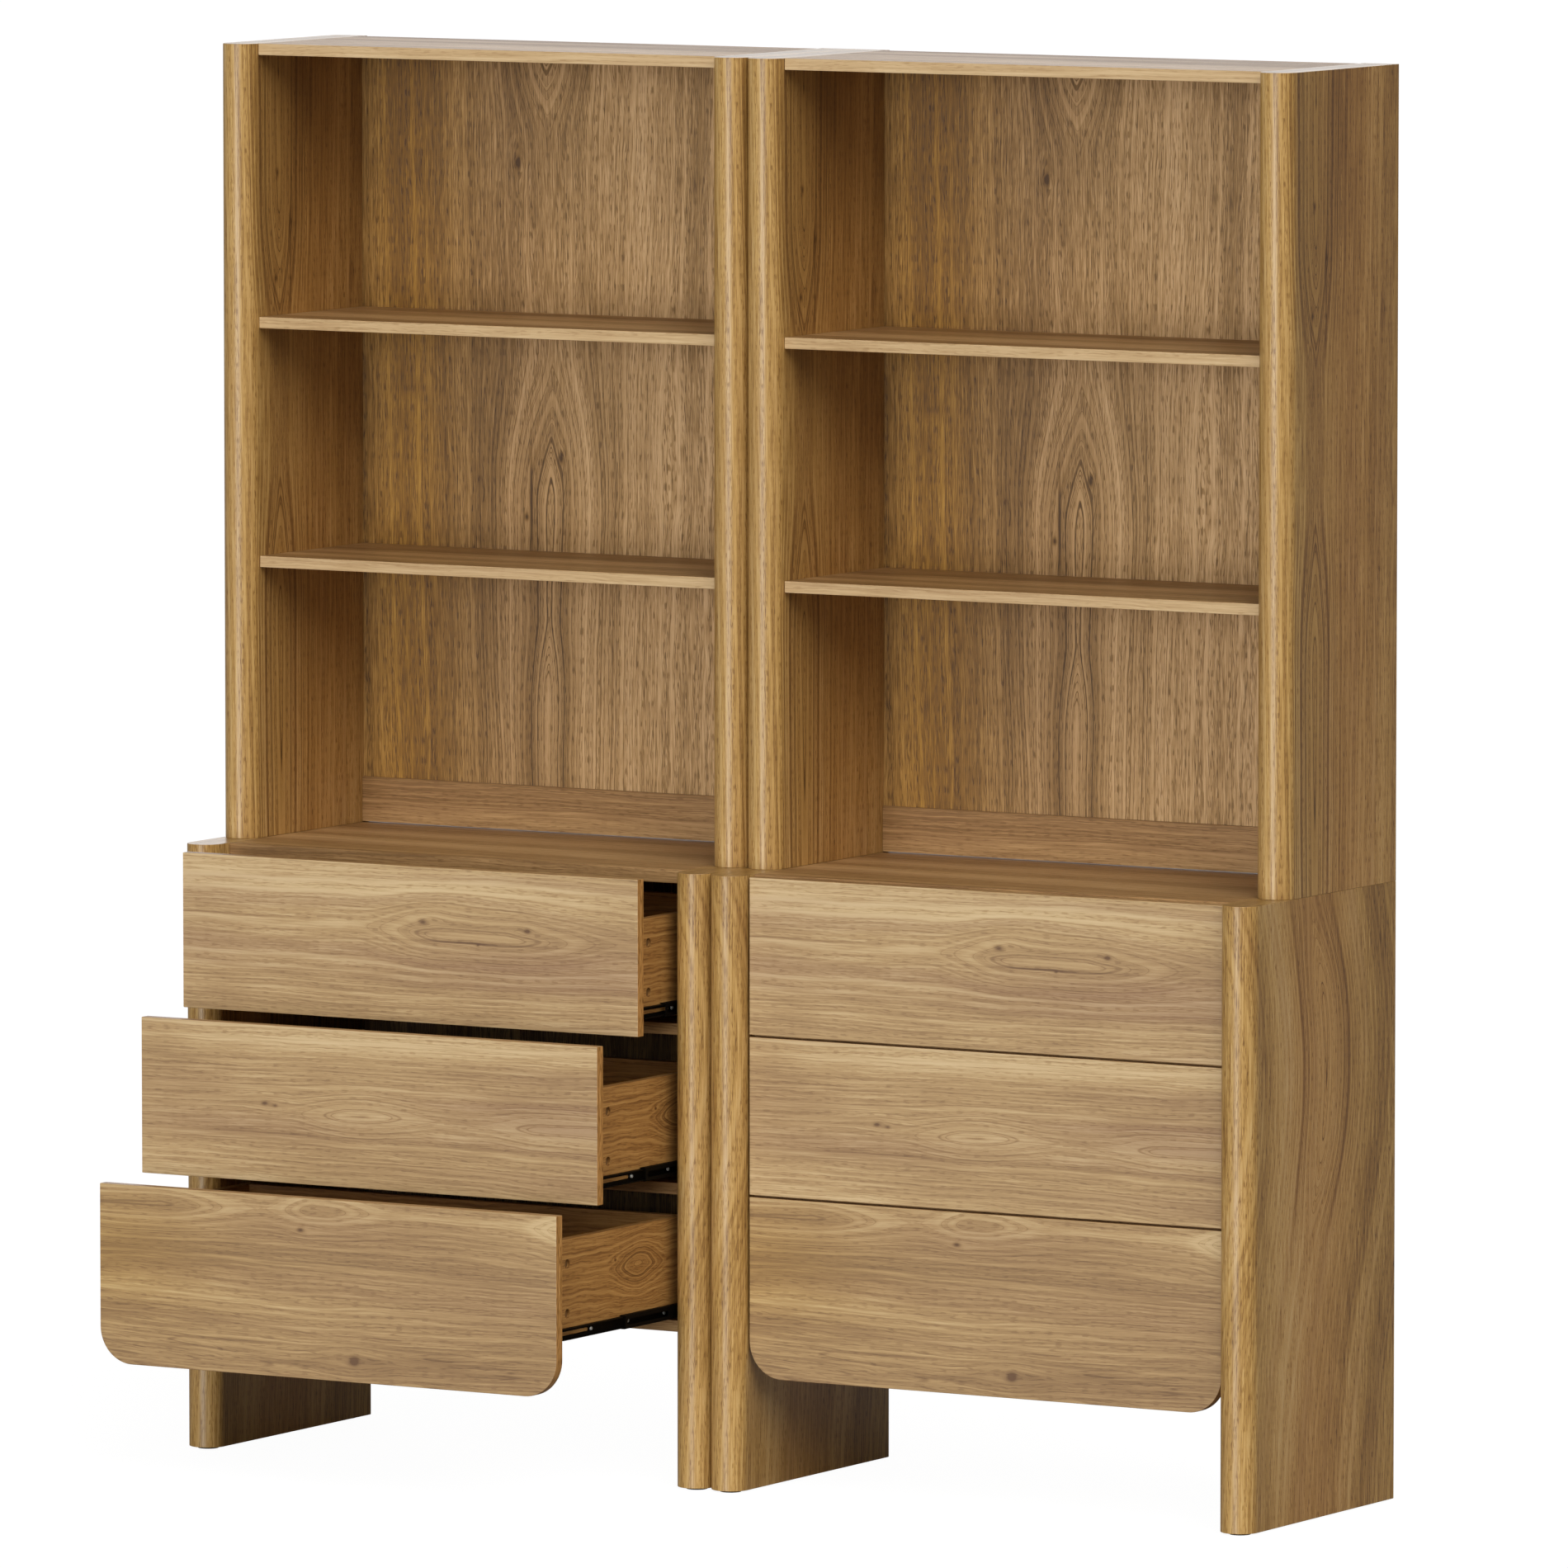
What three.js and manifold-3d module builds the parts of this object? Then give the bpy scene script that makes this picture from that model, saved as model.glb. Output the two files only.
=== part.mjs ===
// Bookcase with bottom drawers: two equal towers side by side.
// Each tower is a drawer chest on thick bullnose side slabs, with an open shelf hutch standing on it.
// Millimetres, +Z up, front towards -Y. In a tower Y is 0 at the back plane and Z is 0 on the floor.

import * as THREE from 'three';
import { mergeVertices } from 'three/addons/utils/BufferGeometryUtils.js';
import Module from 'manifold-3d';

// Towers
const towerWidth = 800;
const towerGap = 0.8;
const slabThickness = 50;
const boardThickness = 15;
const fit = 0.3;
const overrun = 2;
const seatDepth = 0.3;

// Chest
const chestDepth = 386;
const chestHeight = 799;
const chestTopThickness = 18;
const chestTopGrooveDepth = 8;
const bottomBoardDrop = 7.5;
const dividerDepth = 80;

// Hutch
const hutchDepth = 293;
const lowerBayHeight = 357;
const middleBayHeight = 299;
const upperBayHeight = 343;
const rearRailHeight = 59.5;
const rearRailLift = 1.5;
const rearRailInset = 3.7;

// Thin back panels, held in grooves of the slabs
const panelThickness = 3;
const panelInset = 10.7;
const panelReveal = 2;
const slabGrooveDepth = 8;
const railGrooveDepth = 6;

// Glide pads under the slabs
const glideDiameter = 28;
const glideHeight = 3;

// Pockets for the cam locks in the undersides of the boards
const camPocketDiameter = 15;
const camPocketDepth = 12.5;
const camEndInset = 34;
const camEdgeInset = 45;

// Drawer fronts, from the top one down
const frontThickness = 15;
const frontHeights = { upper: 203, middle: 204, lower: 234 };
const frontCornerRadii = { upper: 0, middle: 0, lower: 48 };
const frontReveal = 2.5;
const frontGap = 3;
const frontSideGap = 3;
const frontSeatGap = 1.5;

// Drawer boxes
const boxLength = 320;
const boxHeight = 128;
const boxBoardThickness = 12;
const boxTopDrops = { upper: 53.5, middle: 55.5, lower: 34 };
const boxGrooveRise = 12;
const boxGrooveDepth = 6;
const recessDiameter = 12;
const recessDepth = 4;
const recessSetback = 27;
const recessTopDrop = 32;
const recessPitch = 64;

// Telescopic slides: cabinet member, link and runner nest in the gap beside each box
const slideGap = 12.5;
const slideTailRoom = 20;
const slideSetback = 1;
const slideGauge = 1.2;
const slidePlay = 0.4;
const slideBend = 2.4;
const runnerHeight = 14.6;
const cabinetLipReach = 9.4;
const linkLipReach = 10.6;
const runnerLipReach = 9.1;
const runnerSlotStart = 8;
const runnerSlotLength = 66;
const runnerSlotHeight = 5;
const runnerHoleDiameter = 4;
const runnerHoleStart = 79.5;
const runnerHolePitch = 90;
const cabinetHoleDiameter = 5;
const cabinetHoleStart = 35;
const cabinetHolePitch = 96;
const slideHoleCount = 3;

// How far each drawer stands open
const drawerOpenings = {
  left: { upper: 100, middle: 200, lower: 300 },
  right: { upper: 0, middle: 0, lower: 0 },
};

// Facets of round shapes
const bullnoseSegments = 16;
const cornerSegments = 10;
const bendSegments = 3;
const boreSides = 12;
const glideSides = 20;

// Heights and planes that follow from the sizes above
const levels = ['upper', 'middle', 'lower'];
const nearFace = slabThickness;
const farFace = towerWidth - slabThickness;
const chestFrontLine = slabThickness / 2 - chestDepth;
const hutchFrontLine = slabThickness / 2 - hutchDepth;
const frontBackFace = chestFrontLine + frontThickness;
const carcassFront = frontBackFace + frontSeatGap;
const panelBack = -panelInset;
const panelFront = panelBack - panelThickness;
const boardBack = panelFront - fit;
const lowerShelfTop = chestHeight + lowerBayHeight + boardThickness;
const upperShelfTop = lowerShelfTop + middleBayHeight + boardThickness;
const totalHeight = upperShelfTop + upperBayHeight + boardThickness;
const frontSpans = stackFronts();
const boxBottoms = Object.fromEntries(
  levels.map((level) => [level, frontSpans[level].top - boxTopDrops[level] - boxHeight]),
);
const bottomBoardTop = boxBottoms.lower - bottomBoardDrop;
const linkHeight = runnerHeight + 2 * (slideGauge + slidePlay);
const cabinetHeight = linkHeight + 2 * (slideGauge + slidePlay);
const slideFront = carcassFront + slideSetback;
const slideLength = boxLength - slideTailRoom;
const boxInside = slideGap + boxBoardThickness;
const boxGrooveFloor = boxInside - boxGrooveDepth;
const boxGrooveWidth = panelThickness + 2 * fit;

// Finishes
const uprightOak = { color: 0xb3874f, roughness: 0.55, metalness: 0 };
const boardOak = { color: 0xa87a42, roughness: 0.55, metalness: 0 };
const frontOak = { color: 0xc4a06c, roughness: 0.55, metalness: 0 };
const blackSteel = { color: 0x17120f, roughness: 0.4, metalness: 0.6 };

const wasm = await Module();
wasm.setup();

// Shapes and solids

function block(x0, x1, y0, y1, z0, z1) {
  const geometry = new THREE.BoxGeometry(x1 - x0, y1 - y0, z1 - z0);
  return geometry.translate((x0 + x1) / 2, (y0 + y1) / 2, (z0 + z1) / 2);
}

// A block between the tower's two slabs, reaching to the same distance from each
function spanBlock(distance, y0, y1, z0, z1) {
  return block(nearFace + distance, farFace - distance, y0, y1, z0, z1);
}

function extrudeUp(shape, z0, z1, curveSegments) {
  const settings = { depth: z1 - z0, bevelEnabled: false, curveSegments };
  return new THREE.ExtrudeGeometry(shape, settings).translate(0, 0, z0);
}

// A shape drawn in X and Z, carried from the plane y0 back to the plane y1
function extrudeBack(shape, y0, y1, curveSegments) {
  const settings = { depth: y1 - y0, bevelEnabled: false, curveSegments };
  return new THREE.ExtrudeGeometry(shape, settings).rotateX(Math.PI / 2).translate(0, y1, 0);
}

function discUp(diameter, x, y, z0, z1, sides) {
  const geometry = new THREE.CylinderGeometry(diameter / 2, diameter / 2, z1 - z0, sides);
  return geometry.rotateX(Math.PI / 2).translate(x, y, (z0 + z1) / 2);
}

function discAcross(diameter, x0, x1, y, z, sides) {
  const geometry = new THREE.CylinderGeometry(diameter / 2, diameter / 2, Math.abs(x1 - x0), sides);
  return geometry.rotateZ(Math.PI / 2).translate((x0 + x1) / 2, y, z);
}

function toSolid(geometry) {
  const plain = geometry.clone();
  plain.deleteAttribute('normal');
  plain.deleteAttribute('uv');
  const merged = mergeVertices(plain);
  const mesh = new wasm.Mesh({
    numProp: 3,
    vertProperties: new Float32Array(merged.attributes.position.array),
    triVerts: new Uint32Array(merged.index.array),
  });
  return new wasm.Manifold(mesh);
}

function toGeometry(solid) {
  const mesh = solid.getMesh();
  const geometry = new THREE.BufferGeometry();
  geometry.setAttribute('position', new THREE.BufferAttribute(mesh.vertProperties, mesh.numProp));
  geometry.setIndex(new THREE.BufferAttribute(mesh.triVerts, 1));
  return geometry;
}

function cut(geometry, cutters) {
  let solid = toSolid(geometry);
  for (const cutter of cutters) solid = solid.subtract(toSolid(cutter));
  return toGeometry(solid);
}

function join(geometry, additions) {
  let solid = toSolid(geometry);
  for (const addition of additions) solid = solid.add(toSolid(addition));
  return toGeometry(solid);
}

function addPiece(group, name, geometry, finish) {
  geometry.computeVertexNormals();
  const mesh = new THREE.Mesh(geometry, new THREE.MeshStandardMaterial(finish));
  mesh.name = name;
  group.add(mesh);
  return mesh;
}

// Side slabs: a plan with a half-round front, and a groove for the back panel on the inner face

function slabPlan(depth) {
  const radius = slabThickness / 2;
  const plan = new THREE.Shape();
  plan.moveTo(0, 0);
  plan.lineTo(0, radius - depth);
  plan.absarc(radius, radius - depth, radius, Math.PI, 2 * Math.PI, false);
  plan.lineTo(slabThickness, 0);
  return plan;
}

function slab(isFarSide, depth, z0, z1, grooveBottom) {
  const body = extrudeUp(slabPlan(depth), z0, z1, bullnoseSegments);
  if (isFarSide) body.translate(farFace, 0, 0);
  const x0 = isFarSide ? farFace - overrun : nearFace - slabGrooveDepth;
  const x1 = isFarSide ? farFace + slabGrooveDepth : nearFace + overrun;
  const groove = block(x0, x1, panelFront - fit, panelBack + fit, grooveBottom, z1 + overrun);
  return cut(body, [groove]);
}

// Horizontal boards between the slabs, with round pockets for cam locks in their undersides

function camPlaces(y0, y1) {
  const acrossPlaces = [nearFace + fit + camEndInset, farFace - fit - camEndInset];
  const alongPlaces = [y0 + camEdgeInset, y1 - camEdgeInset];
  return acrossPlaces.flatMap((x) => alongPlaces.map((y) => [x, y]));
}

function camBoard(y0, y1, z0, z1) {
  const board = spanBlock(fit, y0, y1, z0, z1);
  const pockets = camPlaces(y0, y1).map(([x, y]) =>
    discUp(camPocketDiameter, x, y, z0 - overrun, z0 + camPocketDepth, boreSides));
  return cut(board, pockets);
}

function backPanel(z0, z1) {
  return spanBlock(fit - slabGrooveDepth, panelFront, panelBack, z0, z1);
}

// The rail stands on edge behind the lowest bay and holds the panel's lower edge in its groove
function rearRail() {
  const z0 = chestHeight + rearRailLift;
  const z1 = z0 + rearRailHeight;
  const y1 = -rearRailInset;
  const rail = spanBlock(fit, y1 - boardThickness, y1, z0, z1);
  const groove = spanBlock(0, panelFront - fit, panelBack + fit, z1 - railGrooveDepth, z1 + overrun);
  return cut(rail, [groove]);
}

function buildHutch(side) {
  const hutch = new THREE.Group();
  const railTop = chestHeight + rearRailLift + rearRailHeight;
  const panelBottom = railTop - railGrooveDepth + fit;
  const boards = { hutch_top: totalHeight, shelf_upper: upperShelfTop, shelf_lower: lowerShelfTop };
  const left = slab(false, hutchDepth, chestHeight, totalHeight, panelBottom - fit);
  const right = slab(true, hutchDepth, chestHeight, totalHeight, panelBottom - fit);
  addPiece(hutch, `${side}_hutch_side_left`, left, uprightOak);
  addPiece(hutch, `${side}_hutch_side_right`, right, uprightOak);
  for (const [name, top] of Object.entries(boards)) {
    const board = camBoard(hutchFrontLine, boardBack, top - boardThickness, top);
    addPiece(hutch, `${side}_${name}`, board, boardOak);
  }
  addPiece(hutch, `${side}_hutch_back`, backPanel(panelBottom, totalHeight - panelReveal), uprightOak);
  addPiece(hutch, `${side}_hutch_rear_rail`, rearRail(), boardOak);
  return hutch;
}

// Chest carcass

function stackFronts() {
  const spans = {};
  let top = chestHeight - frontReveal;
  for (const level of levels) {
    spans[level] = { top, bottom: top - frontHeights[level] };
    top -= frontHeights[level] + frontGap;
  }
  return spans;
}

// A divider rail lies flat behind each gap between two fronts
function dividerRail(levelAbove) {
  const middle = frontSpans[levelAbove].bottom - frontGap / 2;
  const z0 = middle - boardThickness / 2;
  return spanBlock(fit, carcassFront, carcassFront + dividerDepth, z0, z0 + boardThickness);
}

// The glide pads under a slab
function glidePads(isFarSide) {
  const x = acrossFrom(isFarSide, -slabThickness / 2);
  return [chestFrontLine, -slabThickness / 2].map((y) =>
    discUp(glideDiameter, x, y, 0, glideHeight + seatDepth, glideSides));
}

// A chest side is its slab with the pads and the slides' cabinet members fastened to it
function chestSide(isFarSide) {
  const body = slab(isFarSide, chestDepth, glideHeight, chestHeight, bottomBoardTop - boardThickness);
  const members = levels.map((level) => cabinetMember(isFarSide, level));
  return join(body, [...glidePads(isFarSide), ...members]);
}

// The top board runs back under the hutch's rear rail, and its underside has a groove for the back panel
function chestTop() {
  const z0 = chestHeight - chestTopThickness;
  const board = camBoard(carcassFront, -rearRailInset, z0, chestHeight);
  const groove = spanBlock(0, panelFront - fit, panelBack + fit, z0 - overrun, z0 + chestTopGrooveDepth);
  return cut(board, [groove]);
}

function buildChest(side) {
  const chest = new THREE.Group();
  const bottomBoardUnderside = bottomBoardTop - boardThickness;
  const bottomBoard = camBoard(carcassFront, boardBack, bottomBoardUnderside, bottomBoardTop);
  const panelTop = chestHeight - chestTopThickness + chestTopGrooveDepth - fit;
  const panel = backPanel(bottomBoardUnderside + fit, panelTop);
  addPiece(chest, `${side}_chest_side_left`, chestSide(false), uprightOak);
  addPiece(chest, `${side}_chest_side_right`, chestSide(true), uprightOak);
  addPiece(chest, `${side}_chest_top`, chestTop(), boardOak);
  addPiece(chest, `${side}_chest_bottom`, bottomBoard, boardOak);
  addPiece(chest, `${side}_chest_back`, panel, uprightOak);
  addPiece(chest, `${side}_divider_upper`, dividerRail('upper'), boardOak);
  addPiece(chest, `${side}_divider_lower`, dividerRail('middle'), boardOak);
  return chest;
}

// Telescopic slides. A place across one is measured from the inner face of the slab that carries it.

function acrossFrom(isFarSide, distance) {
  return isFarSide ? farFace - distance : nearFace + distance;
}

// A block between two such places
function blockAcross(isFarSide, from, to, y0, y1, z0, z1) {
  const ends = [acrossFrom(isFarSide, from), acrossFrom(isFarSide, to)];
  return block(Math.min(...ends), Math.max(...ends), y0, y1, z0, z1);
}

function discBetween(isFarSide, diameter, from, to, y, z) {
  return discAcross(diameter, acrossFrom(isFarSide, from), acrossFrom(isFarSide, to), y, z, boreSides);
}

// A roll-formed C channel in section: its web stands at webPlace and its two lips run to lipPlace
function channelSection(isFarSide, webPlace, lipPlace, height, middle, webGauge) {
  const facing = Math.sign(lipPlace - webPlace);
  const web = acrossFrom(isFarSide, webPlace);
  const webInside = acrossFrom(isFarSide, webPlace + facing * webGauge);
  const bend = acrossFrom(isFarSide, webPlace + facing * slideBend);
  const lip = acrossFrom(isFarSide, lipPlace);
  const top = middle + height / 2;
  const bottom = middle - height / 2;
  const section = new THREE.Shape();
  section.moveTo(lip, top);
  section.lineTo(bend, top);
  section.quadraticCurveTo(web, top, web, top - slideBend);
  section.lineTo(web, bottom + slideBend);
  section.quadraticCurveTo(web, bottom, bend, bottom);
  section.lineTo(lip, bottom);
  section.lineTo(lip, bottom + slideGauge);
  section.lineTo(bend, bottom + slideGauge);
  section.quadraticCurveTo(webInside, bottom + slideGauge, webInside, bottom + slideBend);
  section.lineTo(webInside, top - slideBend);
  section.quadraticCurveTo(webInside, top - slideGauge, bend, top - slideGauge);
  section.lineTo(lip, top - slideGauge);
  return section;
}

function channel(isFarSide, webPlace, lipPlace, height, middle, webGauge) {
  const section = channelSection(isFarSide, webPlace, lipPlace, height, middle, webGauge);
  return extrudeBack(section, slideFront, slideFront + slideLength, bendSegments);
}

function slideMiddle(level) {
  return boxBottoms[level] + runnerHeight / 2;
}

// A row of screw holes through a member's web
function webHoles(isFarSide, webPlace, start, pitch, diameter, middle) {
  const holes = [];
  for (let index = 0; index < slideHoleCount; index += 1) {
    const y = slideFront + start + index * pitch;
    holes.push(discBetween(isFarSide, diameter, webPlace - overrun, webPlace + overrun, y, middle));
  }
  return holes;
}

function cabinetMember(isFarSide, level) {
  const middle = slideMiddle(level);
  const webGauge = slideGauge + seatDepth;
  const member = channel(isFarSide, -seatDepth, cabinetLipReach, cabinetHeight, middle, webGauge);
  const holes = webHoles(isFarSide, 0, cabinetHoleStart, cabinetHolePitch, cabinetHoleDiameter, middle);
  return cut(member, holes);
}

function slideLink(isFarSide, level) {
  const webPlace = slideGauge + slidePlay;
  return channel(isFarSide, webPlace, linkLipReach, linkHeight, slideMiddle(level), slideGauge);
}

// The slot near a runner's front end, with round ends
function runnerSlot(isFarSide, middle) {
  const radius = runnerSlotHeight / 2;
  const y0 = slideFront + runnerSlotStart + radius;
  const y1 = slideFront + runnerSlotStart + runnerSlotLength - radius;
  const from = slideGap - overrun;
  const to = slideGap + overrun;
  return [
    blockAcross(isFarSide, from, to, y0, y1, middle - radius, middle + radius),
    discBetween(isFarSide, runnerSlotHeight, from, to, y0, middle),
    discBetween(isFarSide, runnerSlotHeight, from, to, y1, middle),
  ];
}

function runner(isFarSide, level) {
  const middle = slideMiddle(level);
  const webGauge = slideGauge + seatDepth;
  const lipPlace = slideGap - runnerLipReach;
  const member = channel(isFarSide, slideGap + seatDepth, lipPlace, runnerHeight, middle, webGauge);
  const holes = webHoles(
    isFarSide, slideGap, runnerHoleStart, runnerHolePitch, runnerHoleDiameter, middle,
  );
  return cut(member, [...runnerSlot(isFarSide, middle), ...holes]);
}

// Drawers

function frontOutline(level) {
  const { top, bottom } = frontSpans[level];
  const x0 = nearFace + frontSideGap;
  const x1 = farFace - frontSideGap;
  const radius = frontCornerRadii[level];
  const outline = new THREE.Shape();
  outline.moveTo(x0, top);
  outline.lineTo(x0, bottom + radius);
  if (radius > 0) outline.absarc(x0 + radius, bottom + radius, radius, Math.PI, 1.5 * Math.PI, false);
  outline.lineTo(x1 - radius, bottom);
  if (radius > 0) outline.absarc(x1 - radius, bottom + radius, radius, 1.5 * Math.PI, 2 * Math.PI, false);
  outline.lineTo(x1, top);
  return outline;
}

function drawerFront(level) {
  const board = extrudeBack(frontOutline(level), chestFrontLine, frontBackFace, cornerSegments);
  const grooveBottom = boxBottoms[level] + boxGrooveRise;
  const grooveTop = grooveBottom + boxGrooveWidth;
  const grooveFront = frontBackFace - boxGrooveDepth;
  const groove = spanBlock(boxGrooveFloor, grooveFront, frontBackFace + overrun, grooveBottom, grooveTop);
  return cut(board, [groove]);
}

// The round recesses in the outer faces of the box's sides, over the fittings that hold the front
function sideRecesses(isFarSide, boxTop) {
  const y = frontBackFace + recessSetback;
  const floor = slideGap + recessDepth;
  return [recessTopDrop, recessTopDrop + recessPitch].map((drop) =>
    discBetween(isFarSide, recessDiameter, slideGap - overrun, floor, y, boxTop - drop));
}

// The box is a glued frame of two sides and a back, open at the front and below.
// The bottom panel slides in grooves of the sides and passes under the back.
function drawerBox(level) {
  const z0 = boxBottoms[level];
  const z1 = z0 + boxHeight;
  const y0 = frontBackFace;
  const y1 = y0 + boxLength;
  const grooveBottom = z0 + boxGrooveRise;
  const grooveTop = grooveBottom + boxGrooveWidth;
  const outside = spanBlock(slideGap, y0, y1, z0, z1);
  const inside = spanBlock(boxInside, y0 - overrun, y1 - boxBoardThickness, z0 - overrun, z1 + overrun);
  const underBack = spanBlock(boxInside, y0, y1 + overrun, z0 - overrun, grooveTop);
  const groove = spanBlock(boxGrooveFloor, y0 - overrun, y1 + overrun, grooveBottom, grooveTop);
  const recesses = [...sideRecesses(false, z1), ...sideRecesses(true, z1)];
  const box = cut(outside, [inside, underBack, groove, ...recesses]);
  return join(box, [runner(false, level), runner(true, level)]);
}

function boxBottom(level) {
  const y0 = frontBackFace - boxGrooveDepth + fit;
  const z0 = boxBottoms[level] + boxGrooveRise + fit;
  return spanBlock(boxGrooveFloor + fit, y0, frontBackFace + boxLength, z0, z0 + panelThickness);
}

function buildDrawer(side, level) {
  const opening = drawerOpenings[side][level];
  const drawer = new THREE.Group();
  const links = new THREE.Group();
  addPiece(drawer, `${side}_${level}_drawer_front`, drawerFront(level), frontOak);
  addPiece(drawer, `${side}_${level}_drawer_box`, drawerBox(level), boardOak);
  addPiece(drawer, `${side}_${level}_drawer_bottom`, boxBottom(level), boardOak);
  addPiece(links, `${side}_${level}_slide_link_left`, slideLink(false, level), blackSteel);
  addPiece(links, `${side}_${level}_slide_link_right`, slideLink(true, level), blackSteel);
  drawer.position.y = -opening;
  links.position.y = -opening / 2;
  return [drawer, links];
}

function buildTower(side, x) {
  const tower = new THREE.Group();
  tower.add(buildHutch(side), buildChest(side), ...levels.flatMap((level) => buildDrawer(side, level)));
  tower.position.x = x;
  return tower;
}

// Both towers stand against one wall, centred on the frame at the floor
const towerPlaces = { left: 0, right: towerWidth + towerGap };
const furthestOpening = Math.max(...Object.values(drawerOpenings).flatMap((open) => Object.values(open)));
const overallWidth = towerPlaces.right + towerWidth;
const overallDepth = Math.max(chestDepth, furthestOpening - chestFrontLine);

const bookcase = new THREE.Group();
for (const [side, x] of Object.entries(towerPlaces)) bookcase.add(buildTower(side, x));
bookcase.position.set(-overallWidth / 2, overallDepth / 2, 0);

export default bookcase;
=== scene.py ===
import itertools
import math
from functools import partial

import bmesh
import bpy
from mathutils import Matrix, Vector


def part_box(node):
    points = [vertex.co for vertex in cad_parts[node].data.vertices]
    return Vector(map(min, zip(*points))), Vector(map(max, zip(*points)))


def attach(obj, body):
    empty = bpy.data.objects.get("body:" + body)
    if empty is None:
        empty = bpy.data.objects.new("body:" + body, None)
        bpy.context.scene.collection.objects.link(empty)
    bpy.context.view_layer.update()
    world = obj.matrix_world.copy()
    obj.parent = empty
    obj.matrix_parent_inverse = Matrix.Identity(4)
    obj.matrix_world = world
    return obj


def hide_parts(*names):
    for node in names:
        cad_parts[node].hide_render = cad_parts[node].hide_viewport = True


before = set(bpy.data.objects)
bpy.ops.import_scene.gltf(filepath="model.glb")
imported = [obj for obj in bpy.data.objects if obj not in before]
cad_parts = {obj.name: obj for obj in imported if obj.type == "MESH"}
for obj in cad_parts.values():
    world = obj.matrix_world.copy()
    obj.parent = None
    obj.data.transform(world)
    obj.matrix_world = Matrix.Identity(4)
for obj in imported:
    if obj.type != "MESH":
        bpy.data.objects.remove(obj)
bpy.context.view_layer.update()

towers = ("left", "right")
hands = ("left", "right")
levels = ("upper", "middle", "lower")
touching = 1e-6  # metres within which two places count as one


def mm(*lengths):  # millimetres to metres, one length or several
    metres = [length / 1000 for length in lengths]
    return metres[0] if len(metres) == 1 else Vector(metres)


def linear(hexColour):  # an sRGB hex value to linear light
    channels = [int(hexColour[i:i + 2], 16) / 255 for i in (1, 3, 5)]
    return [c / 12.92 if c <= 0.04045 else ((c + 0.055) / 1.055) ** 2.4 for c in channels] + [1]


# Outputs and inputs that share their name with others on their node, by number
objectPlace = 3  # the Object output of the texture coordinates
factor, first, second, mixed = 0, 6, 7, 2  # the colour inputs of a mix, and its colour output
measure = 1  # the plain number that a vector operation gives


def addNode(tree, kind, settings, inputs, output=0):  # a shader node with its settings and links
    node = tree.nodes.new("ShaderNode" + kind)
    if isinstance(settings, str):
        settings = {"operation": settings}
    for key, value in settings.items():
        setattr(node, key, value)
    for key, value in (inputs.items() if isinstance(inputs, dict) else enumerate(inputs)):
        if isinstance(value, bpy.types.NodeSocket):
            tree.links.new(value, node.inputs[key])
        else:
            node.inputs[key].default_value = value
    return node.outputs[output] if node.outputs else None


def newMaterial(name):
    material = bpy.data.materials.new(name)
    material.use_nodes = True
    material.node_tree.nodes.clear()
    return material, partial(addNode, material.node_tree)


# Oak foil: a printed decor on a chipboard core, pressed with open pores and lacquered satin.
# It gives the eye long growth lines that close into eyes and arches, dark pore dashes, and soft brown bands.
# Places are in mm on the foil: along the grain from the board's low end, and across it from its middle.
everywhere = 1e6
noiseMiddle = 0.5  # a noise's mean value, and the tone that the foil starts from
seedStep = 7.31
foilLook = {
    "drift": (900, 170, 26),  # long slow bends of the grain: length, width and reach
    "swirl": (170, 40, 6),  # short bends
    "ripple": (26, 9, 1.4),  # the small waves of porous grain
    "heart": 0,  # where the growth lines meet
    "veer": (),  # where the heart leaves its line: along, length, how far
    "blunt": 5,  # how round the tips of closed lines are
    "eyes": (),  # where lines close: start, length of its tip, end, length of that tip, swelling, width
    "taper": 0.02,
    "ringPitch": 9,
    "ringLine": 0.03,
    "bandPitch": (1300, 60),
    "fibre": (105, 2.5),  # drawn coarser than the real 0.5 mm fibres, so that they show
    "pore": (13, 1.4),
    "poreEdge": (0.56, 0.7),  # noise values where a pore begins, and is full
    "poreRings": (0.4, 0.6, 1, 0.2),  # ring values between which the share of pores falls, and those shares
    "strand": (240, 12),  # thin dark lines of early wood, drawn along the edges of this noise
    "strandEdge": (0.004, 0.03),
    "dash": (40, 4),  # what breaks them up
    "dashEdge": (0.4, 0.56),
    "belt": (70, 170),  # how far from the heart those begin, and are full
    "calm": 0.5,  # how much of the fibres' contrast the eyes take away
    "mauvePitch": (900, 34),
    "mauveEdge": (0.48, 0.75),
    "shares": {"band": 0.2, "ring": 0.1, "figure": 0.04, "line": 0.24, "fibre": 0.22, "strand": 0.16,
               "pore": 0.12, "mauve": 0.35, "lines": 0.05},
    "knots": (),  # along, across, length, width, pull, darkness
    "knotCore": (7, 3.4),  # what a knot's length and width are divided by for its dark core
    "cracks": (),  # along, across, length, width, darkness
    "clouds": (),  # along, across, length, width, change of tone
    "mauve": (),  # along, across, length, width, share of the mauve stain
    "golden": (),  # the same for the golden tint: a stain of the print, and on the back panels partly painted shade and bounce
    "russet": (),  # and for the russet one
    "tints": {"mauve": "#dacfd4", "golden": "#e4d27c", "russet": "#f0d8c0"},
    "roughness": (0.5, 0.38),
    "glossTones": (0.2, 0.8),
    "poreDepth": 1.2,  # times the fibres' relief
    "relief": 0.25,
    "reliefHeight": 0.4,
    "lacquerIor": 1.48,
}


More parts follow.
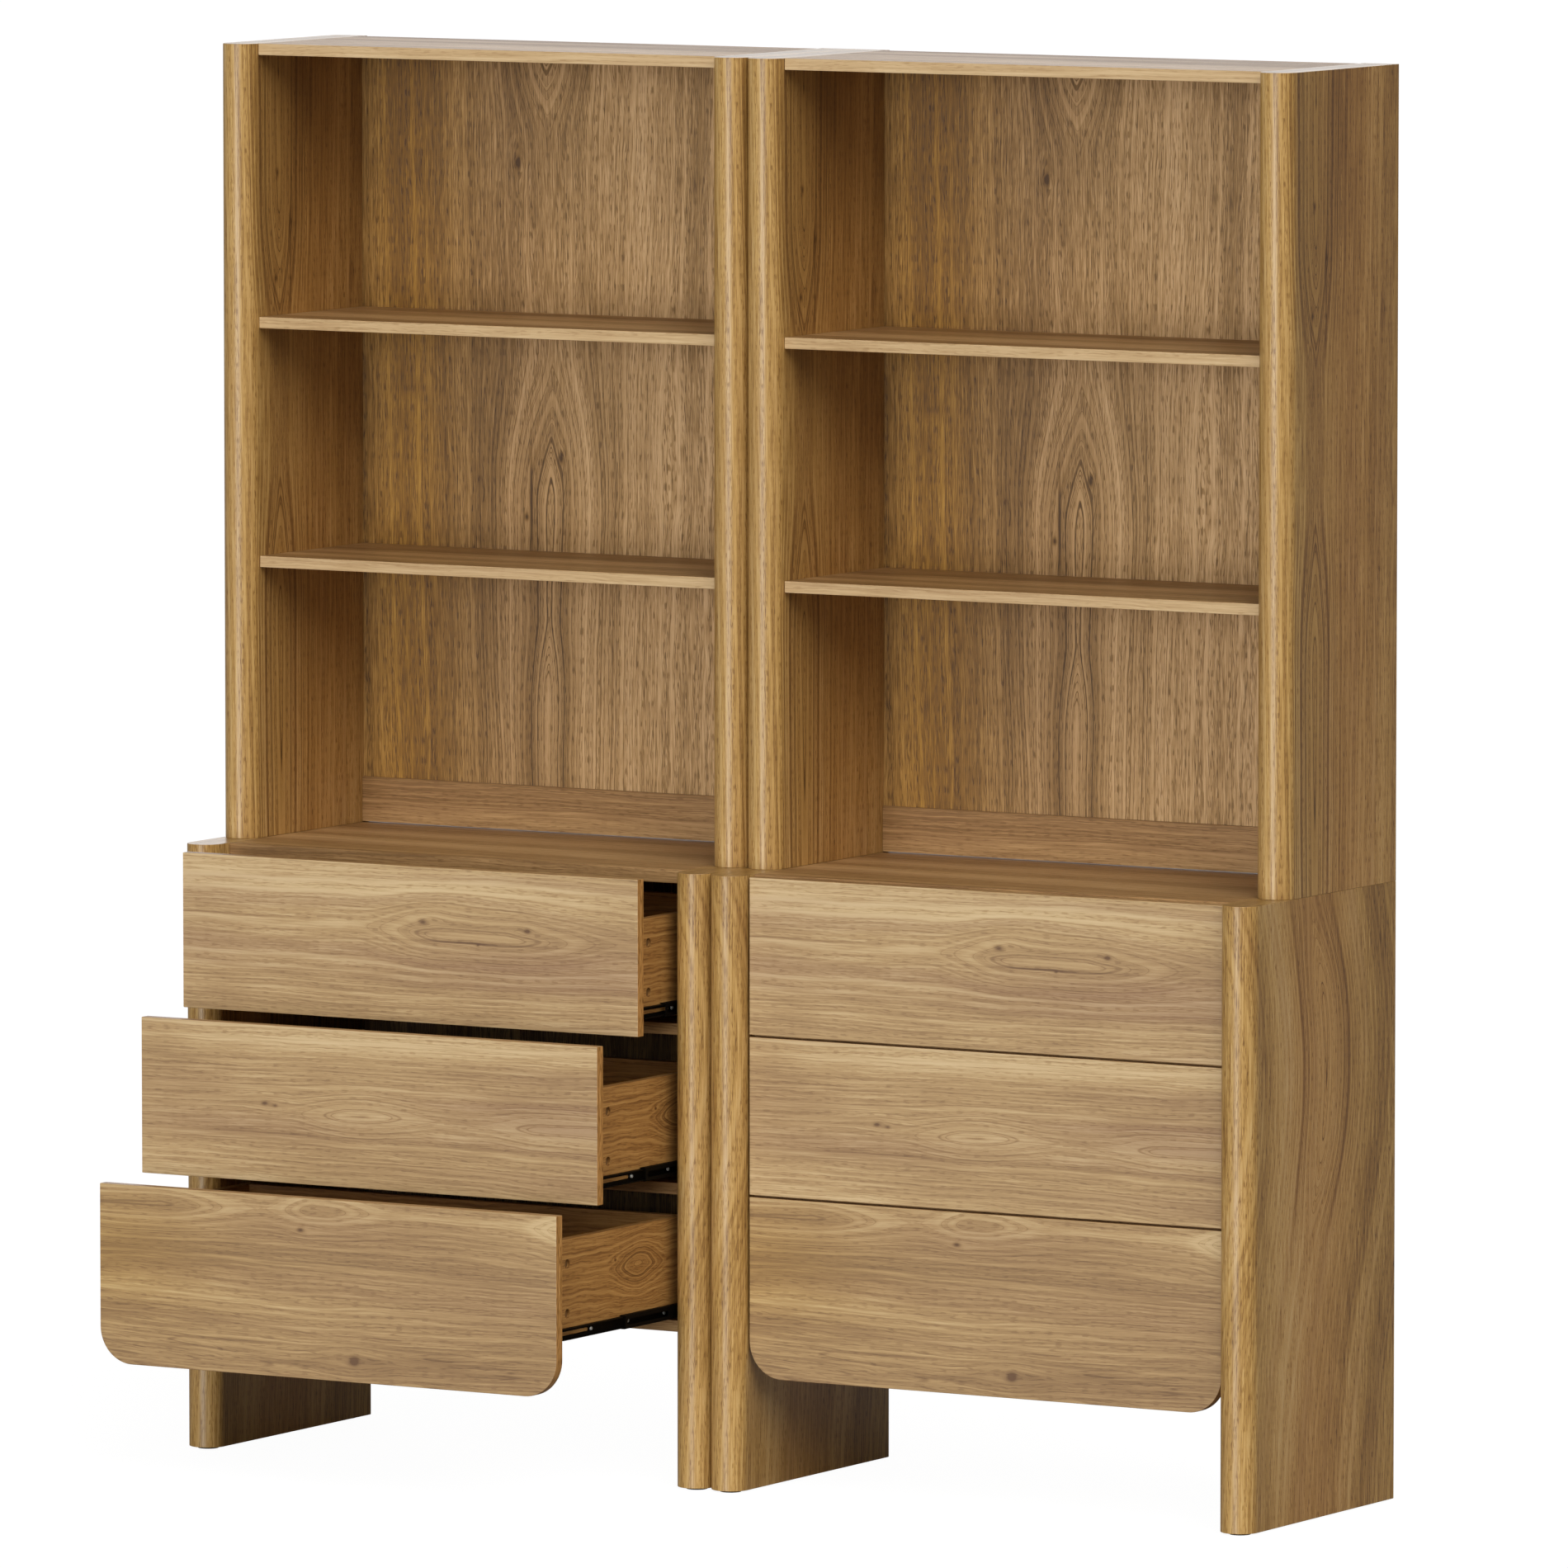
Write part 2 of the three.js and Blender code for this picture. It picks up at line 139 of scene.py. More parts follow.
def oakFoil(name, seed, tones, **changes):
    look = {**foilLook, **changes}
    shares = {**foilLook["shares"], **changes.get("shares", {})}
    material, add = newMaterial(name)
    seeds = itertools.count(seed, seedStep)

    def streaks(source, length, width, detail):  # noise drawn out along the grain
        place = add("Mapping", {}, {"Vector": source, "Location": (next(seeds), next(seeds), 0),
                                    "Scale": (1000 / length, 1000 / width, 1)})
        return add("TexNoise", {"noise_dimensions": "2D"},
                   {"Vector": place, "Scale": 1, "Detail": detail, "Roughness": 0.55})

    def bell(source, along, across, length, width):  # 1 at a place, falling off smoothly about it
        place = add("Mapping", {}, {"Vector": source, "Location": (-along / length, -across / width, 0),
                                    "Scale": (1000 / length, 1000 / width, 1)})
        squared = add("VectorMath", "DOT_PRODUCT", [place, place], output=measure)
        return add("Math", "POWER", [1 / math.e, squared])

    def raised(value, source, places):  # a value with bells added, each times the last value of its place
        for *place, change in places:
            value = add("Math", "MULTIPLY_ADD", [bell(source, *place), change, value])
        return value

    def ramped(value, low, high, atLow, atHigh):
        return add("MapRange", {"interpolation_type": "SMOOTHSTEP"},
                   {"Value": value, "From Min": low, "From Max": high, "To Min": atLow, "To Max": atHigh})

    def centred(noise):  # below and above zero instead of about its mean
        return add("Math", "SUBTRACT", [noise, noiseMiddle])

    foil = add("UVMap", {"uv_map": "foil"}, [])
    split = add("SeparateXYZ", {}, [foil]).node
    along, across = split.outputs[0], split.outputs[1]

    # The grain's bends, and the wood that flows round the knots
    flow = across
    for length, width, reach in (look["drift"], look["swirl"], look["ripple"]):
        flow = add("Math", "MULTIPLY_ADD", [centred(streaks(foil, length, width, 1)), mm(reach), flow])
    for knotAlong, knotAcross, length, width, pull, darkness in look["knots"]:
        side = add("Math", "SUBTRACT", [across, mm(knotAcross)])
        spread = add("Math", "MULTIPLY", [side, bell(foil, knotAlong, knotAcross, length, width)])
        flow = add("Math", "MULTIPLY_ADD", [spread, -pull, flow])
    combed = add("CombineXYZ", {}, [along, flow, 0])

    # Growth: the distance from the heart, which the eyes take down so that lines close round them
    heart = raised(mm(look["heart"]), foil, [(place, 0, length, everywhere, mm(change))
                                             for place, length, change in look["veer"]])
    fromHeart = add("Math", "SUBTRACT", [flow, heart])
    drawn = add("CombineXYZ", {}, [along, fromHeart, 0])
    blunted = add("CombineXYZ", {}, [fromHeart, mm(look["blunt"]), 0])
    growth = add("VectorMath", "LENGTH", [blunted], output=measure)
    growth = add("Math", "MULTIPLY_ADD", [along, -look["taper"], growth])
    figure = 0
    for start, opening, end, closing, swelling, width in look["eyes"]:
        opened = ramped(along, mm(start), mm(start + opening), 0, 1)
        closed = ramped(along, mm(end - closing), mm(end), 1, 0)
        lengthwise = add("Math", "MULTIPLY", [opened, closed])
        eye = add("Math", "MULTIPLY", [lengthwise, bell(drawn, 0, 0, everywhere, width)])
        growth = add("Math", "MULTIPLY_ADD", [eye, mm(-swelling), growth])
        figure = add("Math", "MAXIMUM", [add("Math", "SQRT", [eye]), figure])
    grown = add("CombineXYZ", {}, [along, growth, 0])
    rings = add("TexNoise", {"noise_dimensions": "1D"},
                {"W": add("Math", "MULTIPLY_ADD", [growth, 1000 / look["ringPitch"], next(seeds)]),
                 "Scale": 1, "Detail": 1, "Roughness": 0.6})
    line = ramped(add("Math", "ABSOLUTE", [centred(rings)]), 0, look["ringLine"], 1, 0)

    broad = streaks(grown, *look["bandPitch"], 1)
    fibre = streaks(combed, *look["fibre"], 2)
    pores = ramped(streaks(combed, *look["pore"], 0), *look["poreEdge"], 0, 1)
    pores = add("Math", "MULTIPLY", [pores, ramped(rings, *look["poreRings"])])
    beltStart, beltFull = look["belt"]
    belt = ramped(add("Math", "ABSOLUTE", [fromHeart]), mm(beltStart), mm(beltFull), 0, 1)
    strandOffset = add("Math", "ABSOLUTE", [centred(streaks(combed, *look["strand"], 1))])
    strand = add("Math", "MULTIPLY", [belt, ramped(strandOffset, *look["strandEdge"], 1, 0)])
    dashes = ramped(streaks(combed, *look["dash"], 0), *look["dashEdge"], 0, 1)
    strand = add("Math", "MULTIPLY", [strand, dashes])

    # Tone: 0 is the darkest stop of the ramp and 1 the lightest. A noise reaches half a unit to either side,
    # so its share is doubled.
    ringShare = add("Math", "MULTIPLY_ADD", [figure, shares["figure"] * 2, shares["ring"] * 2])
    tone = add("Math", "MULTIPLY_ADD", [centred(rings), ringShare, noiseMiddle])
    fullFibre = shares["fibre"] * 2
    fibreShare = add("Math", "MULTIPLY_ADD", [figure, -look["calm"] * fullFibre, fullFibre])
    for part, share in ((broad, shares["band"] * 2), (fibre, fibreShare)):
        tone = add("Math", "MULTIPLY_ADD", [centred(part), share, tone])
    lineShare = add("Math", "MULTIPLY_ADD", [figure, shares["line"], shares["lines"]])
    lineShown = add("Math", "MULTIPLY", [line, lineShare])
    for part, share in ((lineShown, 1), (pores, shares["pore"]), (strand, shares["strand"])):
        tone = add("Math", "MULTIPLY_ADD", [part, -share, tone])
    # Clouds change the print's tone; a few of them, noted at their foils, are painted light or shade.
    tone = raised(tone, foil, look["clouds"])
    tone = raised(tone, foil, [(*place, -darkness) for *place, darkness in look["cracks"]])
    shorter, narrower = look["knotCore"]
    tone = raised(tone, foil, [(knotAlong, knotAcross, length / shorter, width / narrower, -darkness)
                               for knotAlong, knotAcross, length, width, pull, darkness in look["knots"]])

    colour = add("ValToRGB", {}, [tone])
    stops = colour.node.color_ramp.elements
    stops.remove(stops[1])
    places = sorted(tones)
    stops[0].position, stops[0].color = places[0], linear(tones[places[0]])
    for place in places[1:]:
        stops.new(place).color = linear(tones[place])
    bands = {"mauve": ramped(streaks(grown, *look["mauvePitch"], 1), *look["mauveEdge"], 0, shares["mauve"])}
    # The stains are tints of the print; on the back panels the golden one is partly painted shade and bounce.
    for stain, tint in look["tints"].items():
        share = raised(bands.get(stain, 0), foil, look[stain])
        colour = add("Mix", {"data_type": "RGBA", "blend_type": "MULTIPLY"},
                     {factor: share, first: colour, second: linear(tint)}, output=mixed)

    height = add("Math", "MULTIPLY_ADD", [pores, -look["poreDepth"], fibre])
    bump = add("Bump", {}, {"Height": height, "Strength": look["relief"], "Distance": mm(look["reliefHeight"])})
    darkTone, lightTone = look["glossTones"]
    rough, smooth = look["roughness"]
    gloss = add("MapRange", {}, {"Value": tone, "From Min": darkTone, "From Max": lightTone,
                                 "To Min": rough, "To Max": smooth})
    surface = add("BsdfPrincipled", {}, {"Base Color": colour, "Roughness": gloss, "Normal": bump,
                                         "IOR": look["lacquerIor"]})
    add("OutputMaterial", {}, [surface])
    return material


# Where each board is cut from the foil, in metres along and across. The slabs of a storey show the same length
# of foil, as they do in print.
foilCuts = {"hutchSlab": (0, 0), "chestSlab": (1.5, 0), "boardStep": (2.7, 0.1), "dividers": 20,
            "dividerStep": 1.9, "hutchPanel": (0, 0), "chestPanel": (8.7, 0.2), "rail": (2.2, 0.1),
            "front": (0, 0), "boxSide": {"left": (1.7, 0), "right": (0, 0)}, "boxBack": (3.1, 0),
            "boxBottom": (5.3, 0)}

uprightOak = oakFoil(
    "golden oak foil, upright", 11.7,
    {0: "#563a1b", 0.35: "#8f6937", 0.5: "#a98347", 0.65: "#c19b5e", 1: "#dcc08a"},
    heart=89, veer=((2077, 330, 130),), pore=(10, 1.1), drift=(1400, 170, 14), swirl=(260, 40, 3),
    ripple=(26, 9, 0.8), fibre=(80, 1.8), roughness=(0.34, 0.27), relief=0.15,
    shares={"strand": 0.16, "mauve": 0.3, "fibre": 0.32, "pore": 0.22, "band": 0.24, "line": 0.45},
    eyes=((655, 180, 1300, 100, 44, 46), (-900, 120, 520, 240, 44, 46), (1850, 150, 2300, 150, 44, 50)),
    knots=((873, 85, 40, 9, 0.6, 0.5), (808, 117, 30, 7, 0.6, 0.5), (734, 80, 34, 8, 0.6, 0.5),
           (733, 116, 24, 6, 0.5, 0.4)),
    cracks=((760, 116, 70, 1.2, 0.35), (375, 127, 60, 1.2, 0.3)),
    # The first cloud lightens the middle of every slab's half-round nose: painted light where the front lights
    # fall on it. The second takes a little of that back on the chest slabs.
    clouds=((0, 0, everywhere, 30, 0.16), (1900, 0, 450, 50, -0.03), (0, 190, everywhere, 130, 0.1),
            (150, 250, 450, 40, 0.07), (980, 170, 220, 50, -0.14), (1900, 110, 450, 60, 0.1),
            (2150, 330, 350, 50, -0.08)),
    mauve=((0, 200, everywhere, 120, 0.2),),
    russet=((0, 190, everywhere, 120, 0.6),))

frontTones = {0: "#6f5238", 0.35: "#a28259", 0.5: "#ba9a6c", 0.65: "#d1b588", 1: "#dec79c"}
frontOak = {
    "upper": oakFoil(
        "sandy oak foil, upper front", 41.3, frontTones, heart=20, taper=0, shares={"line": 0.13},
        eyes=((265, 130, 690, 200, 30, 45),),
        knots=((369, 30, 40, 11, 0.6, 0.5), (528, 26, 30, 9, 0.6, 0.6), (453, 4, 16, 5, 0.5, 0.4)),
        cracks=((440, 6, 90, 1.5, 0.3), (56, 26, 90, 1.5, 0.16), (300, -38, 160, 2, 0.08)),
        clouds=((340, 88, 650, 30, 0.04), (230, -38, 330, 24, -0.1), (90, -75, 180, 24, -0.08),
                (500, 0, 180, 26, 0.05), (690, 70, 60, 50, -0.05)),
        mauve=((580, -26, 300, 30, 0.8), (0, 0, 120, 40, 0.3))),
    "middle": oakFoil(
        "sandy oak foil, middle front", 66.1, frontTones, heart=-13, taper=0.01, shares={"line": 0.15},
        eyes=((225, 100, 460, 120, 18, 36), (520, 90, 800, 60, 12, 30)),
        knots=((190, 0, 30, 8, 0.6, 0.5), (206, -2, 24, 7, 0.6, 0.4)),
        cracks=((250, -38, 190, 1.6, 0.14), (520, -40, 150, 1.6, 0.12)),
        clouds=((450, 82, 380, 28, 0.09), (50, -82, 130, 24, 0.07), (560, -78, 120, 18, 0.06),
                (0, 70, 120, 40, -0.09), (330, 4, 600, 20, -0.07), (350, -35, 500, 22, -0.06)),
        mauve=((150, -30, 200, 20, 0.6), (620, 4, 200, 32, 0.65), (40, 20, 120, 30, 0.3))),
    "lower": oakFoil(
        "sandy oak foil, lower front", 87.9, frontTones, heart=96, taper=0.01, shares={"line": 0.16},
        eyes=((-200, 60, 250, 160, 30, 40), (250, 80, 460, 120, 22, 34), (636, 90, 900, 60, 28, 38)),
        knots=((308, 75, 34, 9, 0.6, 0.55), (389, -90, 44, 18, 0.8, 0.6)),
        cracks=((200, -74, 170, 1.6, 0.2), (90, -86, 120, 1.6, 0.14), (470, -70, 60, 1.5, 0.2),
                (560, -84, 90, 1.6, 0.16)),
        clouds=((60, 60, 180, 36, -0.07), (330, 100, 400, 30, -0.07), (330, 12, 350, 26, 0.06),
                (170, -20, 240, 28, -0.04), (60, -62, 150, 26, -0.08), (350, -98, 900, 24, -0.13),
                (680, 104, 70, 26, 0.1)),
        mauve=((330, 78, 200, 30, 0.5), (600, 0, 170, 55, 0.4), (560, -100, 200, 24, 0.3)),
        golden=((0, 30, 170, 80, 0.4), (0, 0, everywhere, everywhere, 0.07))),
}
backOak = oakFoil(
    "brown oak foil on hardboard", 57.7,
    {0: "#503410", 0.35: "#936f3c", 0.5: "#b99360", 0.65: "#d1ac7c", 1: "#e4c496"},
    heart=-62, blunt=2.5, belt=(40, 120), fibre=(45, 1.5), calm=0.75,
    shares={"strand": 0.1, "fibre": 0.32, "mauve": 0.03, "line": 0.28, "lines": 0.08, "pore": 0.22,
            "band": 0.24},
    eyes=((855, 140, 1400, 50, 46, 62), (-900, 100, 600, 230, 68, 80), (-900, 100, 236, 120, 24, 40)),
    knots=((828, -108, 44, 14, 0.8, 0.5), (440, -42, 44, 12, 0.7, 0.5), (361, -95, 30, 9, 0.6, 0.5),
           (440, 128, 130, 26, 0.6, 0)),
    cracks=((380, -88, 62, 1.9, 0.45),),
    # Down its left side the panel is darker and more golden, from the clouds at -238 and -220 and the golden
    # tint at -280. This is partly the print and partly painted shade and golden bounce beside the left slab.
    clouds=((0, -238, everywhere, 20, -0.06), (0, -220, everywhere, 160, -0.09),
            # The last cloud lies on the chest panel's cut and darkens all of it: painted shade for the chest's
            # unlit inside.
            (0, 60, everywhere, 60, 0.04), (9000, 0, 900, everywhere, -0.35)),
    mauve=((0, -110, everywhere, 60, 0.2),),
    golden=((0, -280, everywhere, 98, 1),))
boardOak = oakFoil(
    "oak foil, shelves and rails", 77.9,
    {0: "#664323", 0.35: "#8b663a", 0.5: "#aa8251", 0.65: "#c59d69", 1: "#d4b483"}, heart=300,
    shares={"fibre": 0.24, "strand": 0.06, "band": 0.26})
edgeOak = oakFoil(
    "light oak edge band", 93.1,
    {0: "#8e6c3d", 0.35: "#b79567", 0.5: "#caaa7c", 0.65: "#d6ba8e", 1: "#e0c9a1"}, heart=300,
    shares={"strand": 0, "mauve": 0.15})
boxOak = oakFoil(
    "golden oak foil, drawer boxes", 23.9,
    {0: "#5b3b1a", 0.35: "#84592b", 0.5: "#a0733c", 0.65: "#b5884d", 1: "#cba569"}, heart=13, ringPitch=5,
    drift=(300, 90, 16), swirl=(55, 22, 7),
    shares={"ring": 0.15, "figure": 0.03, "line": 0.36, "fibre": 0.28, "mauve": 0.05},
    eyes=((120, 80, 280, 80, 26, 40), (1820, 80, 1980, 80, 26, 40)), knots=((145, 24, 16, 6, 0.7, 0.6),))
sawnOak = oakFoil(
    "golden oak band on the fronts' edges", 31.5,
    {0: "#5e3a16", 0.35: "#94682f", 0.5: "#b8864b", 0.65: "#cf9f5e", 1: "#dfb878"}, heart=300,
    shares={"pore": 0.4, "strand": 0, "mauve": 0})


def rawHardboard():  # the unfaced back of a pressed fibre board: brown, matt, faintly flecked
    material, add = newMaterial("raw hardboard")
    place = add("TexCoord", {}, [], output=objectPlace)
    flecks = add("TexNoise", {}, {"Vector": place, "Scale": 1 / mm(3), "Detail": 3})
    clouds = add("TexNoise", {}, {"Vector": place, "Scale": 1 / mm(180), "Detail": 2})
    shade = add("Math", "MULTIPLY_ADD", [clouds, 0.25, add("Math", "MULTIPLY", [flecks, 0.75])])
    share = add("MapRange", {}, {"Value": shade, "From Min": 0.35, "From Max": 0.65})
    colour = add("Mix", {"data_type": "RGBA"},
                 {factor: share, first: linear("#7a5634"), second: linear("#97714b")}, output=mixed)
    bump = add("Bump", {}, {"Height": flecks, "Strength": 0.3, "Distance": mm(0.3)})
    surface = add("BsdfPrincipled", {}, {"Base Color": colour, "Roughness": 0.82, "Normal": bump})
    add("OutputMaterial", {}, [surface])
    return material


def blackSteel():  # roll-formed steel with black electrophoretic paint: thin, even, half-gloss
    material, add = newMaterial("black painted steel")
    place = add("TexCoord", {}, [], output=objectPlace)
    film = add("TexNoise", {}, {"Vector": place, "Scale": 1 / mm(4), "Detail": 2})
    share = add("MapRange", {}, {"Value": film, "From Min": 0.3, "From Max": 0.7})
    colour = add("Mix", {"data_type": "RGBA"},
                 {factor: share, first: linear("#040302"), second: linear("#090604")}, output=mixed)
    gloss = add("MapRange", {}, {"Value": film, "From Min": 0.3, "From Max": 0.7,
                                 "To Min": 0.5, "To Max": 0.62})
    bump = add("Bump", {}, {"Height": film, "Strength": 0.1, "Distance": mm(0.1)})
    surface = add("BsdfPrincipled", {}, {"Base Color": colour, "Roughness": gloss, "Normal": bump,
                                         "Specular IOR Level": 0.05})
    add("OutputMaterial", {}, [surface])
    return material


def brightZinc():  # zinc-plated screws and cam locks: bright, with a faint cloudy spangle
    material, add = newMaterial("bright zinc plate")
    place = add("TexCoord", {}, [], output=objectPlace)
    spangle = add("TexVoronoi", {"feature": "F1"}, {"Vector": place, "Scale": 1 / mm(2)})
    gloss = add("MapRange", {}, {"Value": spangle, "To Min": 0.38, "To Max": 0.5})
    colour = add("Mix", {"data_type": "RGBA"},
                 {factor: spangle, first: linear("#d6d4cc"), second: linear("#b4b2ac")}, output=mixed)
    surface = add("BsdfPrincipled", {}, {"Base Color": colour, "Roughness": gloss, "Metallic": 0.4})
    add("OutputMaterial", {}, [surface])
    return material


def mouldedPlastic(name, darkHex, lightHex, grit):  # injection-moulded caps and glides, finely eroded skin
    material, add = newMaterial(name)
    place = add("TexCoord", {}, [], output=objectPlace)
    skin = add("TexNoise", {}, {"Vector": place, "Scale": 1 / mm(grit), "Detail": 3})
    share = add("MapRange", {}, {"Value": skin, "From Min": 0.3, "From Max": 0.7})
    colour = add("Mix", {"data_type": "RGBA"},
                 {factor: share, first: linear(darkHex), second: linear(lightHex)}, output=mixed)
    bump = add("Bump", {}, {"Height": skin, "Strength": 0.2, "Distance": mm(0.15)})
    surface = add("BsdfPrincipled", {}, {"Base Color": colour, "Roughness": 0.55, "Normal": bump})
    add("OutputMaterial", {}, [surface])
    return material


hardboard = rawHardboard()
steel = blackSteel()
zinc = brightZinc()
# The caps' dark brown is painted shade: it makes the floor of each recess in the box sides read dark.
capPlasticPaintedShade = mouldedPlastic("brown ABS cover cap, dark as painted recess shade", "#62431f", "#7c582d", 1.5)
glidePlastic = mouldedPlastic("dark felt glide", "#1b1613", "#2c2520", 1)
print("finishes made")


# What the makers of all pieces share: fits and edges in mm, angles in degrees
fitLook = {"play": 0.3, "overrun": 2, "sharpFrom": 50, "arrisSteps": 2, "shadedSharpFrom": 32}
play = mm(fitLook["play"])  # the clearance of a panel in its groove
overrun = mm(fitLook["overrun"])  # how far a cutter passes the face that it opens
sides = {"cam": 32, "recess": 32, "hole": 24, "screw": 24, "glide": 40}  # of what stands for a circle


def addBlock(shape, corner, opposite):  # a box between two opposite corners, in the mesh that is given
    spans = [sorted(pair) for pair in zip(corner, opposite)]
    verts = bmesh.ops.create_cube(shape, size=1)["verts"]
    bmesh.ops.scale(shape, vec=[high - low for low, high in spans], verts=verts)
    bmesh.ops.translate(shape, vec=[(low + high) / 2 for low, high in spans], verts=verts)


def addRod(shape, centre, axis, radius, length, sideCount):  # a round bar about its centre
    ends = bmesh.ops.create_cone(shape, cap_ends=True, segments=sideCount, radius1=radius, radius2=radius,
                                 depth=length)["verts"]
    turn = Vector((0, 0, 1)).rotation_difference(Vector(axis)).to_matrix()
    bmesh.ops.rotate(shape, cent=(0, 0, 0), matrix=turn, verts=ends)
    bmesh.ops.translate(shape, vec=centre, verts=ends)
    return ends


def roundEdges(shape, edges, radius, steps):
    bmesh.ops.bevel(shape, geom=edges, offset=radius, offset_type="OFFSET", segments=steps, profile=0.5,
                    affect="EDGES", material=-1, clamp_overlap=True)


def easeArrises(shape, radius):  # breaks every sharp edge, as a sanded edge is
    sharpFrom = math.radians(fitLook["sharpFrom"])
    sharp = [edge for edge in shape.edges if edge.is_manifold and edge.calc_face_angle() > sharpFrom]
    roundEdges(shape, sharp, radius, fitLook["arrisSteps"])


def carve(shape, cutter):  # takes the cutter's solids out of the shape and gives a new mesh
    solids = []
    for part in (shape, cutter):
        mesh = bpy.data.meshes.new("carving")
        part.to_mesh(mesh)
        part.free()
        solid = bpy.data.objects.new("carving", mesh)
        bpy.context.scene.collection.objects.link(solid)
        solids.append(solid)
    cut = solids[0].modifiers.new("cut", "BOOLEAN")
    cut.operation = "DIFFERENCE"
    cut.solver = "EXACT"
    cut.use_self = True  # the crossed slots of a screw overlap
    cut.object = solids[1]
    carved = bmesh.new()
    carved.from_object(solids[0], bpy.context.evaluated_depsgraph_get())
    for solid in solids:
        mesh = solid.data
        bpy.data.objects.remove(solid)
        bpy.data.meshes.remove(mesh)
    return carved


def facing(face):  # the axis that a face looks along most, and which way
    axis = max(range(3), key=lambda a: abs(face.normal[a]))
    return axis, 1 if face.normal[axis] > 0 else -1


stripStep = 0.9  # metres of foil between the main face's strip and those of the other faces
rearFacing = 0.7  # a slab's faces that look back more than this aren't wrapped


def layFoil(shape, grain, main, cut, nose=None):
    # A UV map in metres: U runs along the grain and V across it. Side faces take strips beside the main one.
    # On a slab V follows the girth from the middle of its nose, so the print goes round the half-round.
    layer = shape.loops.layers.uv.new("foil")
    low = [min(vert.co[axis] for vert in shape.verts) for axis in range(3)]
    high = [max(vert.co[axis] for vert in shape.verts) for axis in range(3)]
    for face in shape.faces:
        axis, sign = facing(face)
        others = sorted((a for a in range(3) if a != axis), key=lambda a: low[a] - high[a])
        alongAxis = others[0] if axis == grain else grain
        acrossAxis = 3 - axis - alongAxis
        strip = 0 if (axis, sign) == main else stripStep * (1 + 2 * axis + (sign > 0))
        wraps = nose and axis != grain and face.normal.y < rearFacing
        for loop in face.loops:
            place = loop.vert.co
            if wraps:
                fromNose = place.y - nose["centre"].y
                sideways = place.x - nose["centre"].x
                turn = math.atan2(sideways, -fromNose) if fromNose < 0 else math.copysign(math.pi / 2, sideways)
                across = nose["radius"] * turn + math.copysign(max(fromNose, 0), sideways)
            else:
                across = place[acrossAxis] - (low[acrossAxis] + high[acrossAxis]) / 2 + strip
            loop[layer].uv = (place[alongAxis] - low[alongAxis] + cut[0], across + cut[1])


def faceMaterials(shape, choices):  # gives the faces that look along an axis their own material
    shape.normal_update()
    for face in shape.faces:
        face.material_index = choices.get(facing(face), 0)


def finishPiece(shape, name, body, nodes, materials):
    bmesh.ops.recalc_face_normals(shape, faces=shape.faces)
    mesh = bpy.data.meshes.new(name)
    shape.to_mesh(mesh)
    shape.free()
    for material in materials:
        mesh.materials.append(material)
    mesh.shade_smooth()
    mesh.set_sharp_from_angle(angle=math.radians(fitLook["shadedSharpFrom"]))
    piece = bpy.data.objects.new(name, mesh)
    bpy.context.scene.collection.objects.link(piece)
    even = piece.modifiers.new("even shading", "WEIGHTED_NORMAL")  # keeps wide faces flat beside small rounds
    even.keep_sharp = True
    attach(piece, body)
    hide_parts(*nodes)


# Side slabs: 50 mm thick, the front edge a full half-round that the foil is wrapped about
slabLook = {"thickness": 50, "noseSteps": 20, "arris": 0.8, "grooveDepth": 8, "glideHeight": 3,
            "noseShare": 0.9999,  # of half the thickness, as a full half makes the two rounds meet in one line
            "merge": 0.02}  # what closes the hair between them


def inwardSign(hand):  # the way from a slab towards the middle of its tower
    return 1 if hand == "left" else -1


def innerFace(side, hand):
    low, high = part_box(f"{side}_hutch_side_{hand}")
    return high.x if hand == "left" else low.x


def makeSlab(side, storey, hand):
    node = f"{side}_{storey}_side_{hand}"
    low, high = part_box(node)
    inward, inner = inwardSign(hand), innerFace(side, hand)
    low.x, high.x = sorted((inner, inner - inward * mm(slabLook["thickness"])))
    if storey == "chest":
        low.z += mm(slabLook["glideHeight"])
    shape = bmesh.new()
    addBlock(shape, low, high)
    nosed = [edge for edge in shape.edges if all(abs(vert.co.y - low.y) < touching for vert in edge.verts)
             and abs(edge.verts[0].co.z - edge.verts[1].co.z) > touching]
    radius = mm(slabLook["thickness"]) / 2
    roundEdges(shape, nosed, radius * slabLook["noseShare"], slabLook["noseSteps"])
    bmesh.ops.remove_doubles(shape, verts=shape.verts, dist=mm(slabLook["merge"]))
    easeArrises(shape, mm(slabLook["arris"]))
    panelLow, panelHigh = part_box(f"{side}_{storey}_back")
    cutter = bmesh.new()
    addBlock(cutter, (inner - inward * mm(slabLook["grooveDepth"]), panelLow.y - play, panelLow.z - play),
             (inner + inward * overrun, panelHigh.y + play, high.z + overrun))
    shape = carve(shape, cutter)
    nose = {"centre": Vector(((low.x + high.x) / 2, low.y + radius, 0)), "radius": radius}
    layFoil(shape, 2, (1, -1), foilCuts[f"{storey}Slab"], nose)
    finishPiece(shape, f"{side}_{storey}_slab_{hand}", "carcass", [node], [uprightOak])


# Glide pads: dark round pads let into the slabs' undersides
glideLook = {"diameter": 28, "height": 3, "seat": 0.3, "round": 0.8, "roundSteps": 3, "frontInset": 25,
             "backInset": 25}


